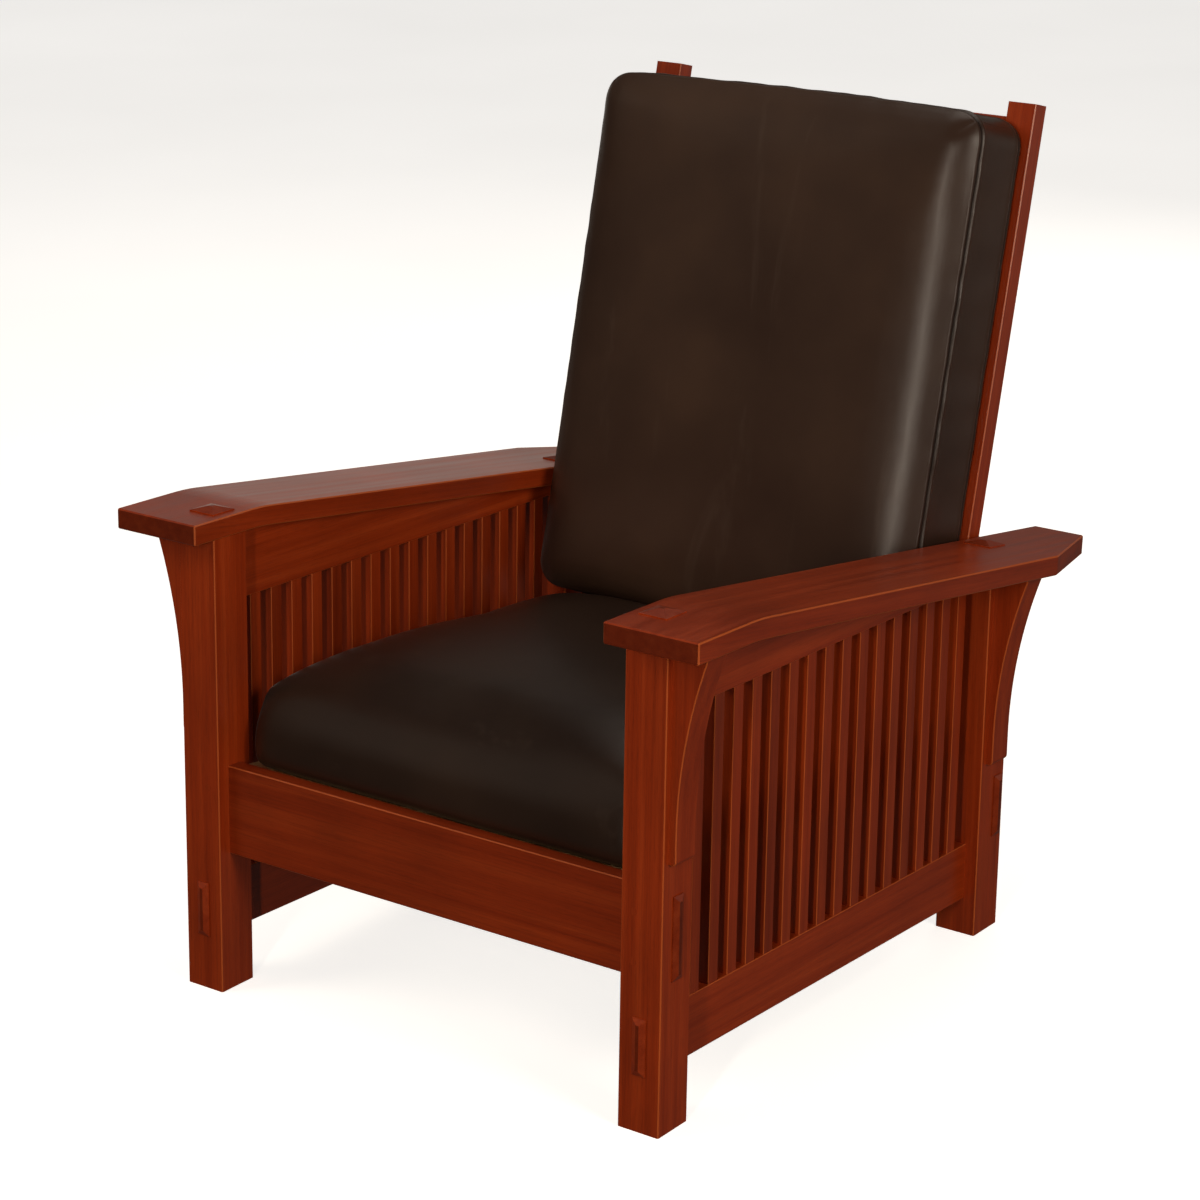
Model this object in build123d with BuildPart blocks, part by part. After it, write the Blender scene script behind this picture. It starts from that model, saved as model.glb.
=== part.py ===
from build123d import *

import os
from math import atan, cos, degrees, radians, sin, tan

# Spindle-sided reclining armchair with bent arms and loose leather cushions.
# Sizes are in millimetres. The frame is square in itself: across it (x), back from the
# front of the front legs (depth) and up from their feet (height). The rear legs are cut
# shorter, so the whole frame stands tipped back on the floor.

os.makedirs("parts", exist_ok=True)

# Legs
frame_width = 722.0
leg_size = 57.0
leg_spacing = 699.0
rear_leg_cut = 20.0
edge_chamfer = 1.2

# Joinery
glue_gap = 0.1
stub_length = 18.0
tenon_proud = 1.5
arm_tenon = 38.0
arm_head_rise = 4.5
arm_head_bevel = 16.0
rail_head_rise = 3.5
rail_head_bevel = 7.0
dowel_diameter = 9.5
dowel_bite = 15.0
dowel_inset = 17.5
dowel_offset = 30.0

# Seat rails
rail_thickness = 22.0
rail_shoulder = 6.0
front_rail_setback = 18.0
front_rail_floor_height = 179.8
front_rail_height = 114.2
rear_rail_setback = 4.0
rear_rail_floor_height = 142.0
rear_rail_height = 94.0

# Side stretchers, upper side rails and spindles
stretcher_thickness = 21.0
stretcher_floor_height = 68.0
stretcher_height = 75.0
stretcher_shoulder = 2.5
upper_rail_height = 91.2
upper_rail_tenon_drop = 6.0
spindle_size = 19.0
spindle_count = 16
spindle_end_spacing = 36.0
spindle_tenon = 11.0
spindle_tenon_length = 8.0
spindle_chamfer = 0.8

# Arms
arm_inner_overhang = 4.0
arm_width = 127.0
arm_thickness = 25.4
arm_height = 610.6
arm_overhang = 37.0
arm_bend = 82.5
arm_slope = 6.74
arm_bend_radius = 300.0
arm_rear_overhang = 160.0
arm_clip_length = 168.0
arm_clip_width = 55.5
arm_edge_chamfer = 1.6

# Corbels
corbel_rail_gap = 15.8
corbel_reach = 50.0
corbel_foot = 9.5
corbel_straight = 35.0
corbel_thickness = 38.0
corbel_toe_round = 6.0

# Reclining back
pivot_inset = 15.0
pivot_rail_rise = 26.0
back_lean = 12.34
post_side_gap = 12.2
post_width = 40.0
post_thickness = 28.0
post_length = 821.0
post_tail = 26.0
rung_count = 5
rung_height = 50.0
rung_thickness = 17.0
rung_setback = 2.0
top_rung_drop = 19.0
bottom_rung_rise = 128.0

# Pivot pins and adjusting pegs
running_gap = 0.1
pin_diameter = 12.7
pin_head_diameter = 26.0
pin_head_length = 6.0
pin_seat_depth = 36.0
washer_diameter = 32.0
washer_gap = 0.3
peg_diameter = 16.0
peg_hole_diameter = 17.4
peg_hole_depth = 36.0
peg_tip_gap = 2.0
peg_post_gap = 0.3
peg_spacing = 32.0
peg_positions = 4
knob_diameter = 23.0
knob_length = 18.0
knob_neck = 2.0

# Seat deck and its cleats
deck_thickness = 15.0
deck_drop = 6.0
deck_gap = 1.5
deck_notch_gap = 12.0
cleat_size = 22.0
cleat_end_gap = 8.0

# Loose cushions
cushion_gap = 0.5
seat_cushion_side_gap = 4.0
seat_cushion_thickness = 165.0
back_cushion_side_gap = 5.8
back_cushion_thickness = 136.0
back_cushion_rise = 118.0
back_cushion_drop = 35.0

# The frame's own directions, tipped back on the floor
tip = atan(rear_leg_cut / leg_spacing)
arm_fall = tan(radians(arm_slope))

# Places that several pieces share
leg_outer = frame_width / 2
leg_inner = leg_outer - leg_size
leg_middle = leg_outer - leg_size / 2
front_leg_rear = leg_size
rear_leg_front = leg_spacing
rear_leg_rear = leg_spacing + leg_size
front_rail_top = front_rail_floor_height + front_rail_height
rear_rail_top = rear_rail_floor_height + rear_rail_height
pivot_depth = rear_leg_front + pivot_inset
pivot_height = rear_rail_top + pivot_rail_rise
arm_inner = leg_inner - arm_inner_overhang
arm_reach = rear_leg_rear + arm_rear_overhang


def rearward(depth, height):
    """How far back on the floor a point of the frame lies."""
    return depth * cos(tip) + height * sin(tip)


def post_corner(along, behind):
    """Depth and height of a point on the back, from the pivot up and behind the posts' middle."""
    lean = radians(back_lean)
    return (
        pivot_depth + along * sin(lean) + behind * cos(lean),
        pivot_height + along * cos(lean) - behind * sin(lean),
    )


foremost = rearward(-arm_overhang, arm_height - arm_thickness)
rearmost = max(
    rearward(arm_reach, arm_height - (arm_reach - arm_bend) * arm_fall),
    rearward(*post_corner(post_length, post_thickness / 2)),
)
middle = (foremost + rearmost) / 2


def spot(x, depth, height):
    """A point of the frame, given on the floor's axes."""
    return (x, rearward(depth, height) - middle, height * cos(tip) - depth * sin(tip))


def side_plane(x, depth=0.0, height=0.0, lean=0.0):
    """Seen from the right: local X to the rear, local Y up, normal to the right."""
    angle = tip + radians(lean)
    return Plane(origin=spot(x, depth, height), x_dir=(0, cos(angle), -sin(angle)), z_dir=(1, 0, 0))


def front_plane(depth=0.0, height=0.0, lean=0.0):
    """Seen from the front: local X to the right, local Y up, normal to the front."""
    angle = tip + radians(lean)
    return Plane(origin=spot(0, depth, height), x_dir=(1, 0, 0), z_dir=(0, -cos(angle), sin(angle)))


def rear_plane(depth=0.0):
    """Seen from behind: local X to the left, local Y up, normal to the rear."""
    return Plane(origin=spot(0, depth, 0), x_dir=(-1, 0, 0), z_dir=(0, cos(tip), -sin(tip)))


def plan_plane(height, depth=0.0, lean=0.0):
    """Seen from above: local X to the right, local Y to the rear, normal up."""
    angle = tip + radians(lean)
    return Plane(origin=spot(0, depth, height), x_dir=(1, 0, 0), z_dir=(0, sin(angle), cos(angle)))


def floor_at(depth):
    """Height of the floor in the frame."""
    return depth * tan(tip)


def arm_top_at(depth):
    return arm_height - max(0, depth - arm_bend) * arm_fall


def arm_middle_at(depth):
    """Middle of the sloping part of an arm."""
    return arm_height - arm_thickness / 2 / cos(radians(arm_slope)) - (depth - arm_bend) * arm_fall


def arm_underside_at(depth):
    sloping = arm_height - arm_thickness / cos(radians(arm_slope)) - (depth - arm_bend) * arm_fall
    return min(arm_height - arm_thickness, sloping)


# Rails, spindles and posts
front_rail_middle = front_rail_setback + rail_thickness / 2
rear_rail_middle = rear_leg_rear - rear_rail_setback - rail_thickness / 2

stretcher_top = stretcher_floor_height + stretcher_height
upper_rail_base = arm_height - arm_thickness - upper_rail_height
first_spindle = front_leg_rear + spindle_end_spacing
spindle_pitch = (rear_leg_front - spindle_end_spacing - first_spindle) / (spindle_count - 1)
spindle_depths = [first_spindle + spindle_pitch * i for i in range(spindle_count)]

post_outer = leg_inner - post_side_gap
post_inner = post_outer - post_width


def peg_place():
    """Depth and height of the adjusting peg's middle, behind the back post and mid-way in the arm."""
    lean = radians(back_lean)
    behind = post_thickness / 2 + peg_post_gap + peg_diameter / 2
    rise = arm_middle_at(pivot_depth + behind * cos(lean)) - pivot_height + behind * sin(lean)
    return post_corner(rise / (cos(lean) + arm_fall * sin(lean)), behind)


peg_depth, peg_height = peg_place()

# The deck runs straight from the front seat rail to the rear one, a little below their tops.
deck_front = front_rail_setback + rail_thickness + deck_gap
deck_rear = rear_leg_rear - rear_rail_setback - rail_thickness - deck_gap
deck_fall = (front_rail_top - rear_rail_top) / (deck_rear - deck_front)
deck_slope = atan(deck_fall)


def deck_top_at(depth):
    return front_rail_top - deck_drop - (depth - deck_front) * deck_fall


def save(piece, name):
    piece.label = name
    export_step(piece, "parts/" + name + ".step")


def save_pair(piece, name):
    """A right-hand piece and its mirror image on the left."""
    save(piece.mirror(Plane.YZ), "left_" + name)
    save(piece, "right_" + name)


def tenon_head(width, height, bevel, rise):
    """Bevelled end of a through tenon, standing on its XY plane."""
    with BuildPart() as head:
        with BuildSketch():
            Rectangle(width, height)
        with BuildSketch(Plane.XY.offset(rise)):
            Rectangle(width - 2 * bevel, height - 2 * bevel)
        loft(ruled=True)
    return head.part


def arm_outline():
    """An arm from the side: level in front, bent down behind the front leg."""
    bend_angle = radians(arm_slope)
    bend_back = arm_thickness * tan(bend_angle / 2)
    rear_drop = (arm_reach - arm_bend) * arm_fall
    rear_top = (arm_reach, arm_height - rear_drop)
    with BuildSketch() as outline:
        with BuildLine():
            top = FilletPolyline(
                (-arm_overhang, arm_height),
                (arm_bend, arm_height),
                rear_top,
                radius=arm_bend_radius + arm_thickness,
            )
            underside = FilletPolyline(
                (-arm_overhang, arm_height - arm_thickness),
                (arm_bend - bend_back, arm_height - arm_thickness),
                (
                    rear_top[0] - arm_thickness * sin(bend_angle),
                    rear_top[1] - arm_thickness * cos(bend_angle),
                ),
                radius=arm_bend_radius,
            )
            Line(top @ 0, underside @ 0)
            Line(top @ 1, underside @ 1)
        make_face()
    return outline.sketch


# Tenon sizes, and the mortises that take them
stretcher_tenon = (stretcher_thickness - stretcher_shoulder, stretcher_height - 2 * stretcher_shoulder)
rail_tenon_thickness = rail_thickness - rail_shoulder / 2
front_rail_tenon = (rail_tenon_thickness, front_rail_height - 2 * rail_shoulder)
rear_rail_tenon = (rail_tenon_thickness, rear_rail_height - 2 * rail_shoulder)
upper_tenon_thickness = stretcher_thickness / 2
stretcher_middle = stretcher_floor_height + stretcher_height / 2
front_rail_level = front_rail_floor_height + front_rail_height / 2
rear_rail_level = rear_rail_floor_height + rear_rail_height / 2


def upper_tenon(depth, gap=0.0):
    """Height range of an upper side rail's tenon where the rail ends at this depth."""
    low = upper_rail_base + upper_rail_tenon_drop / 2
    return low - gap, arm_underside_at(depth) - upper_rail_tenon_drop + gap


def rail_dowels_of(plane, setback, level):
    """Two dowels a leg, from its outside face into the seat rail's tenon but not through it."""
    with BuildPart() as pair:
        with BuildSketch(plane):
            for height in (level - dowel_offset, level + dowel_offset):
                with Locations((leg_inner + dowel_inset, height), (-leg_inner - dowel_inset, height)):
                    Circle(dowel_diameter / 2)
        extrude(amount=-(setback + dowel_bite))
    return pair.part


front_dowels = rail_dowels_of(front_plane(), front_rail_setback, front_rail_level)
rear_dowels = rail_dowels_of(rear_plane(rear_leg_rear), rear_rail_setback, rear_rail_level)


def make_leg(front_face, rail_middle, rail_level, rail_tenon, mortise_start, leg_dowels, pin):
    """A square leg: foot cut to the floor, shoulder cut to the arm, tenon up through the arm."""
    rear_face = front_face + leg_size
    centre = front_face + leg_size / 2
    tenon_front = centre - arm_tenon / 2
    tenon_rear = centre + arm_tenon / 2
    lean = arm_slope if centre > arm_bend else 0.0
    with BuildPart() as leg:
        with BuildSketch(side_plane(leg_inner)):
            Polygon(
                (front_face, floor_at(front_face)),
                (rear_face, floor_at(rear_face)),
                (rear_face, arm_underside_at(rear_face)),
                (front_face, arm_underside_at(front_face)),
            )
        extrude(amount=leg_size)
        upright = Axis((0, 0, 0), (0, sin(tip), cos(tip)))
        chamfer(leg.edges().filter_by(upright), edge_chamfer)
        with BuildSketch(side_plane(leg_middle - arm_tenon / 2)):
            Polygon(
                (tenon_front, arm_underside_at(tenon_front)),
                (tenon_rear, arm_underside_at(tenon_rear)),
                (tenon_rear, arm_top_at(tenon_rear) + tenon_proud),
                (tenon_front, arm_top_at(tenon_front) + tenon_proud),
            )
        extrude(amount=arm_tenon)
        head_plane = plan_plane(arm_top_at(centre) + tenon_proud, centre, lean)
        add(head_plane * Pos(leg_middle, 0) * arm_tenon_head)
        # Mortise for the side stretcher, right through from front to rear
        with BuildSketch(front_plane(front_face)):
            with Locations((leg_middle, stretcher_middle)):
                Rectangle(stretcher_tenon[0] + 2 * glue_gap, stretcher_tenon[1] + 2 * glue_gap)
        extrude(amount=-leg_size, mode=Mode.SUBTRACT)
        # Mortise for the seat rail, right through from side to side
        with BuildSketch(side_plane(leg_inner)):
            with Locations((rail_middle, rail_level)):
                Rectangle(rail_tenon[0] + 2 * glue_gap, rail_tenon[1] + 2 * glue_gap)
        extrude(amount=leg_size, mode=Mode.SUBTRACT)
        # Blind mortise for the upper side rail
        low, high = upper_tenon(mortise_start, glue_gap)
        toward_front = 1 if mortise_start == rear_face else -1
        with BuildSketch(front_plane(mortise_start)):
            with Locations((leg_middle, (low + high) / 2)):
                Rectangle(upper_tenon_thickness + 2 * glue_gap, high - low)
        extrude(amount=toward_front * (stub_length + glue_gap), mode=Mode.SUBTRACT)
        # Holes for the dowels that lock the seat rail's tenon
        add(leg_dowels, mode=Mode.SUBTRACT)
        if pin:
            with BuildSketch(side_plane(leg_inner)):
                with Locations((pivot_depth, pivot_height)):
                    Circle(pin_diameter / 2)
            extrude(amount=pin_seat_depth, mode=Mode.SUBTRACT)
    return leg.part


arm_tenon_head = tenon_head(arm_tenon, arm_tenon, arm_head_bevel, arm_head_rise)
save_pair(
    make_leg(
        0.0,
        front_rail_middle,
        front_rail_level,
        front_rail_tenon,
        front_leg_rear,
        front_dowels,
        False,
    ),
    "front_leg",
)
save_pair(
    make_leg(
        rear_leg_front,
        rear_rail_middle,
        rear_rail_level,
        rear_rail_tenon,
        rear_leg_front,
        rear_dowels,
        True,
    ),
    "rear_leg",
)


def make_seat_rail(middle_depth, level, height, tenon, end_dowels):
    """A seat rail between two legs, with a through tenon and bevelled head at each end."""
    with BuildPart() as rail:
        with BuildSketch(side_plane(0)) as section:
            with Locations((middle_depth, level)):
                Rectangle(rail_thickness, height)
            chamfer(section.vertices(), edge_chamfer)
        extrude(amount=leg_inner)
        with BuildSketch(side_plane(0)):
            with Locations((middle_depth, level)):
                Rectangle(*tenon)
        extrude(amount=leg_outer + tenon_proud)
        head = tenon_head(*tenon, rail_head_bevel, rail_head_rise)
        add(side_plane(leg_outer + tenon_proud) * Pos(middle_depth, level) * head)
        mirror(about=Plane.YZ)
        add(end_dowels, mode=Mode.SUBTRACT)
    return rail.part


save(
    make_seat_rail(
        front_rail_middle,
        front_rail_level,
        front_rail_height,
        front_rail_tenon,
        front_dowels,
    ),
    "front_rail",
)
save(
    make_seat_rail(
        rear_rail_middle,
        rear_rail_level,
        rear_rail_height,
        rear_rail_tenon,
        rear_dowels,
    ),
    "rear_rail",
)

# Dowels that lock the seat rails' tenons, two to a leg, flush with the legs' faces
with BuildPart() as dowels:
    add(front_dowels)
    add(rear_dowels)
save(dowels.part, "rail_dowels")

# Side stretcher: low rail with through tenons in both legs, mortised for the spindles
with BuildPart() as stretcher:
    with BuildSketch(front_plane(front_leg_rear)) as section:
        with Locations((leg_middle, stretcher_middle)):
            Rectangle(stretcher_thickness, stretcher_height)
        chamfer(section.vertices(), spindle_chamfer)
    extrude(amount=-(rear_leg_front - front_leg_rear))
    with BuildSketch(front_plane(-tenon_proud)):
        with Locations((leg_middle, stretcher_middle)):
            Rectangle(*stretcher_tenon)
    extrude(amount=-(rear_leg_rear + 2 * tenon_proud))
    stretcher_head = tenon_head(*stretcher_tenon, rail_head_bevel, rail_head_rise)
    add(front_plane(-tenon_proud) * Pos(leg_middle, stretcher_middle) * stretcher_head)
    add(rear_plane(rear_leg_rear + tenon_proud) * Pos(-leg_middle, stretcher_middle) * stretcher_head)
    with BuildSketch(plan_plane(stretcher_top)):
        with Locations([(leg_middle, depth) for depth in spindle_depths]):
            Rectangle(spindle_tenon + 2 * glue_gap, spindle_tenon + 2 * glue_gap)
    extrude(amount=-(spindle_tenon_length + glue_gap), mode=Mode.SUBTRACT)
save_pair(stretcher.part, "side_stretcher")

# Upper side rail: a wedge that fills the space between level spindle tops and the arm
with BuildPart() as upper_rail:
    with BuildSketch(side_plane(leg_middle - stretcher_thickness / 2)):
        Polygon(
            (front_leg_rear, upper_rail_base),
            (rear_leg_front, upper_rail_base),
            (rear_leg_front, arm_middle_at(rear_leg_front)),
            (arm_bend, arm_height - arm_thickness / 2),
            (front_leg_rear, arm_height - arm_thickness / 2),
        )
        add(arm_outline(), mode=Mode.SUBTRACT)
    extrude(amount=stretcher_thickness)
    rearward_axis = Axis((0, 0, 0), (0, cos(tip), -sin(tip)))
    chamfer(upper_rail.edges().filter_by(rearward_axis).sort_by(Axis.Z)[:2], spindle_chamfer)
    for end, inward in ((front_leg_rear, 1), (rear_leg_front, -1)):
        low, high = upper_tenon(end)
        with BuildSketch(front_plane(end)):
            with Locations((leg_middle, (low + high) / 2)):
                Rectangle(upper_tenon_thickness, high - low)
        extrude(amount=inward * stub_length)
    with BuildSketch(plan_plane(upper_rail_base)):
        with Locations([(leg_middle, depth) for depth in spindle_depths]):
            Rectangle(spindle_tenon + 2 * glue_gap, spindle_tenon + 2 * glue_gap)
    extrude(amount=spindle_tenon_length + glue_gap, mode=Mode.SUBTRACT)
save_pair(upper_rail.part, "upper_rail")

# Spindles: square sticks with a square tenon at each end, one group a side
with BuildPart() as spindles:
    spindle_length = upper_rail_base - stretcher_top
    for depth in spindle_depths:
        with BuildSketch(plan_plane(stretcher_top)) as section:
            with Locations((leg_middle, depth)):
                Rectangle(spindle_size, spindle_size)
            chamfer(section.vertices(), spindle_chamfer)
        extrude(amount=spindle_length)
        with BuildSketch(plan_plane(stretcher_top - spindle_tenon_length)):
            with Locations((leg_middle, depth)):
                Rectangle(spindle_tenon, spindle_tenon)
        extrude(amount=spindle_length + 2 * spindle_tenon_length)
save_pair(spindles.part, "spindles")

# Arm: bent board with through mortises, a clipped outer corner at the rear, and in its
# inner edge the row of holes for the adjusting peg, opened into one scalloped slot
with BuildPart() as arm:
    with BuildSketch(side_plane(arm_inner)):
        add(arm_outline())
    extrude(amount=arm_width)
    arm_outer = arm_inner + arm_width
    with BuildSketch(plan_plane(0)):
        Polygon(
            (arm_outer, arm_reach - arm_clip_length),
            (arm_outer, arm_reach),
            (arm_outer - arm_clip_width, arm_reach),
        )
    extrude(amount=arm_height, mode=Mode.SUBTRACT)
    chamfer(arm.edges(), arm_edge_chamfer)
    with BuildSketch(plan_plane(0)):
        with Locations((leg_middle, leg_size / 2), (leg_middle, rear_leg_front + leg_size / 2)):
            Rectangle(arm_tenon + 2 * glue_gap, arm_tenon + 2 * glue_gap)
    extrude(amount=arm_height, mode=Mode.SUBTRACT)
    peg_run = (peg_positions - 1) * peg_spacing
    with BuildSketch(side_plane(arm_inner, peg_depth, peg_height, arm_slope)):
        with Locations((peg_run / 2, 0)):
            SlotCenterToCenter(peg_run, peg_diameter + 2 * running_gap)
        with Locations([(peg_spacing * i, 0) for i in range(peg_positions)]):
            Circle(peg_hole_diameter / 2)
    extrude(amount=peg_hole_depth, mode=Mode.SUBTRACT)
save_pair(arm.part, "arm")


# Both pairs of corbels are as long as the rear ones, which end above the rear rail's tenon
corbel_length = arm_underside_at(rear_leg_front + leg_size / 2) - rear_rail_top - corbel_rail_gap


def make_corbel(front_face):
    """A bracket on the outer face of a leg, hollow-curved from the arm down to a blunt toe."""
    centre = front_face + leg_size / 2
    top = arm_underside_at(centre - corbel_thickness / 2)
    bottom = arm_underside_at(centre) - corbel_length
    foot_edge = leg_outer + corbel_foot
    with BuildPart() as corbel:
        with BuildSketch(front_plane(centre - corbel_thickness / 2)) as profile:
            with BuildLine():
                face = Line((foot_edge, bottom), (foot_edge, bottom + corbel_straight))
                curve = TangentArc(face @ 1, (leg_outer + corbel_reach, top), tangent=(0, 1))
                Polyline(curve @ 1, (leg_outer, top), (leg_outer, bottom), face @ 0)
            make_face()
            toe = profile.vertices().group_by(Axis.Y)[0].sort_by(Axis.X)[-1]
            fillet(toe, corbel_toe_round)
        extrude(amount=-corbel_thickness)
        hollow = corbel.faces().filter_by(GeomType.CYLINDER).sort_by(SortBy.AREA)[-1]
        chamfer(hollow.edges().filter_by(GeomType.CIRCLE), edge_chamfer)
        with BuildSketch(side_plane(leg_outer)):
            add(arm_outline())
        extrude(amount=corbel_reach, mode=Mode.SUBTRACT)
    return corbel.part


save_pair(make_corbel(0.0), "front_corbel")
save_pair(make_corbel(rear_leg_front), "rear_corbel")

# Seat deck: a plywood sheet between the seat rails, notched at the rear for the back posts
notch_front = pivot_depth - post_tail - deck_notch_gap
with BuildPart() as deck:
    with BuildSketch(side_plane(-leg_inner + deck_gap)):
        Polygon(
            (deck_front, deck_top_at(deck_front)),
            (deck_rear, deck_top_at(deck_rear)),
            (deck_rear, deck_top_at(deck_rear) - deck_thickness),
            (deck_front, deck_top_at(deck_front) - deck_thickness),
        )
    extrude(amount=2 * (leg_inner - deck_gap))
    notch_width = leg_inner - post_inner + deck_notch_gap
    notch_middle = ((leg_inner - notch_width / 2), (notch_front + deck_rear) / 2)
    with BuildSketch(plan_plane(0)):
        with Locations(notch_middle, (-notch_middle[0], notch_middle[1])):
            Rectangle(notch_width, deck_rear - notch_front)
    extrude(amount=front_rail_top, mode=Mode.SUBTRACT)
save(deck.part, "seat_deck")


def make_cleat(front_face, half_length):
    """A square strip on the inner face of a seat rail, its top cut to the deck's slope."""
    rear_face = front_face + cleat_size
    with BuildPart() as cleat:
        with BuildSketch(side_plane(-half_length)):
            Polygon(
                (front_face, deck_top_at(front_face) - deck_thickness),
                (rear_face, deck_top_at(rear_face) - deck_thickness),
                (rear_face, deck_top_at(front_face) - deck_thickness - cleat_size),
                (front_face, deck_top_at(front_face) - deck_thickness - cleat_size),
            )
        extrude(amount=2 * half_length)
    return cleat.part


front_cleat_face = front_rail_setback + rail_thickness
rear_cleat_face = rear_leg_rear - rear_rail_setback - rail_thickness - cleat_size
save(make_cleat(front_cleat_face, leg_inner - cleat_end_gap), "front_cleat")
save(make_cleat(rear_cleat_face, post_inner - deck_notch_gap), "rear_cleat")

# Back post: straight stick with a rounded lower end round the pivot hole
rung_rise = (post_length - top_rung_drop - rung_height - bottom_rung_rise) / (rung_count - 1)
rung_levels = [bottom_rung_rise + rung_height / 2 + rung_rise * i for i in range(rung_count)]
rung_behind = rung_setback + rung_thickness / 2 - post_thickness / 2
rung_tenon_height = rung_height - rail_shoulder
rung_tenon_thickness = rung_thickness - rail_shoulder
with BuildPart() as post:
    with BuildSketch(side_plane(post_inner, pivot_depth, pivot_height, back_lean)) as outline:
        with Locations((0, (post_length - post_tail) / 2)):
            Rectangle(post_thickness, post_length + post_tail)
        fillet(outline.vertices().group_by(Axis.Y)[0], post_thickness / 2 - edge_chamfer)
    extrude(amount=post_width)
    along_post = Axis((0, 0, 0), (0, sin(tip + radians(back_lean)), cos(tip + radians(back_lean))))
    chamfer(post.edges().filter_by(along_post), edge_chamfer)
    with BuildSketch(side_plane(post_inner, pivot_depth, pivot_height, back_lean)):
        Circle(pin_diameter / 2 + running_gap)
    extrude(amount=post_width, mode=Mode.SUBTRACT)
    with BuildSketch(side_plane(post_inner, pivot_depth, pivot_height, back_lean)):
        with Locations([(rung_behind, level) for level in rung_levels]):
            Rectangle(rung_tenon_thickness + 2 * glue_gap, rung_tenon_height + 2 * glue_gap)
    extrude(amount=stub_length + glue_gap, mode=Mode.SUBTRACT)
save_pair(post.part, "back_post")

# Rungs: flat cross pieces with stub tenons in the posts
for number, level in enumerate(rung_levels, start=1):
    with BuildPart() as rung:
        with BuildSketch(side_plane(-post_inner, pivot_depth, pivot_height, back_lean)):
            with Locations((rung_behind, level)):
                Rectangle(rung_thickness, rung_height)
        extrude(amount=2 * post_inner)
        across = rung.edges().filter_by(Axis.X)
        chamfer(across, edge_chamfer)
        with BuildSketch(side_plane(-post_inner - stub_length, pivot_depth, pivot_height, back_lean)):
            with Locations((rung_behind, level)):
                Rectangle(rung_tenon_thickness, rung_tenon_height)
        extrude(amount=2 * (post_inner + stub_length))
    save(rung.part, f"back_rung_{number}")

# Pivot pins: turned dowels with a round head inside each post, let into the rear legs
with BuildPart() as pins:
    with BuildSketch(side_plane(post_inner - washer_gap, pivot_depth, pivot_height)):
        Circle(pin_diameter / 2)
    extrude(amount=washer_gap + post_width + post_side_gap + pin_seat_depth)
    with BuildSketch(side_plane(post_inner - washer_gap, pivot_depth, pivot_height)):
        Circle(pin_head_diameter / 2)
    extrude(amount=-pin_head_length)
    chamfer(pins.edges().filter_by(GeomType.CIRCLE).sort_by(Axis.X)[0], edge_chamfer)
    mirror(about=Plane.YZ)
save(pins.part, "pivot_pins")

# Spacer washers on the pins, between the posts and the rear legs
with BuildPart() as washers:
    with BuildSketch(side_plane(post_outer + washer_gap, pivot_depth, pivot_height)):
        Circle(washer_diameter / 2)
        Circle(pin_diameter / 2 + running_gap, mode=Mode.SUBTRACT)
    extrude(amount=post_side_gap - washer_gap)
    mirror(about=Plane.YZ)
save(washers.part, "pivot_washers")

# Adjusting peg: turned peg across the back of the post, its shank in the arm's hole
peg_plane_x = arm_inner + peg_hole_depth - peg_tip_gap
peg_length = peg_plane_x - post_inner + knob_neck
# The knob's rounding, as shares of its radius and its length
knob_shares = ((1.0, 0.6), (0.75, 1.0))
knob_rounding = [
    (knob_diameter / 2 * radius_share, peg_length + knob_length * length_share)
    for radius_share, length_share in knob_shares
]
with BuildPart() as peg:
    with BuildSketch(Plane.XY):
        with BuildLine():
            Polyline(
                (0, 0),
                (peg_diameter / 2 - edge_chamfer, 0),
                (peg_diameter / 2, edge_chamfer),
                (peg_diameter / 2, peg_length),
                (knob_diameter / 2, peg_length + knob_neck),
                *knob_rounding,
                (0, peg_length + knob_length),
                close=True,
            )
        make_face()
    revolve(axis=Axis.Y)
peg_frame = Plane(origin=spot(peg_plane_x, peg_depth, peg_height), x_dir=(0, 0, 1), z_dir=(0, -1, 0))
save_pair(peg_frame * peg.part, "adjusting_peg")

# Cushion levels, from the underside to the crown, as shares of the thickness: how high the
# level lies, how far it is drawn in at the sides and at the ends, and how round its corners are
seat_level_shares = (
    (0.0, 0.07, 0.07, 0.27),
    (0.07, 0.0, 0.0, 0.30),
    (0.48, 0.0, 0.0, 0.30),
    (0.59, 0.02, 0.02, 0.31),
    (0.70, 0.05, 0.08, 0.34),
    (0.79, 0.09, 0.20, 0.38),
    (0.86, 0.13, 0.48, 0.42),
    (0.92, 0.19, 0.80, 0.50),
    (0.97, 0.32, 1.20, 0.60),
    (1.0, 0.92, 1.68, 0.20),
)
back_level_shares = (
    (0.0, 0.05, 0.05, 0.27),
    (0.06, 0.0, 0.0, 0.30),
    (0.74, 0.005, 0.005, 0.31),
    (0.82, 0.055, 0.055, 0.36),
    (0.90, 0.20, 0.20, 0.50),
    (0.955, 0.58, 0.58, 0.72),
    (1.0, 1.10, 1.10, 0.62),
)


def cushion_level(plane, width, length, corner):
    """Outline of a cushion at one level: a rectangle whose corners are rounded in even steps."""
    steps = 8
    points = []
    for quarter, (side, end) in enumerate(((1, 1), (-1, 1), (-1, -1), (1, -1))):
        for step in range(steps + 1):
            angle = radians(90 * (quarter + step / steps))
            across = side * (width / 2 - corner) + corner * cos(angle)
            lengthwise = end * (length / 2 - corner) + corner * sin(angle)
            points.append(plane.from_local_coords((across, lengthwise)))
    return points


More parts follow.
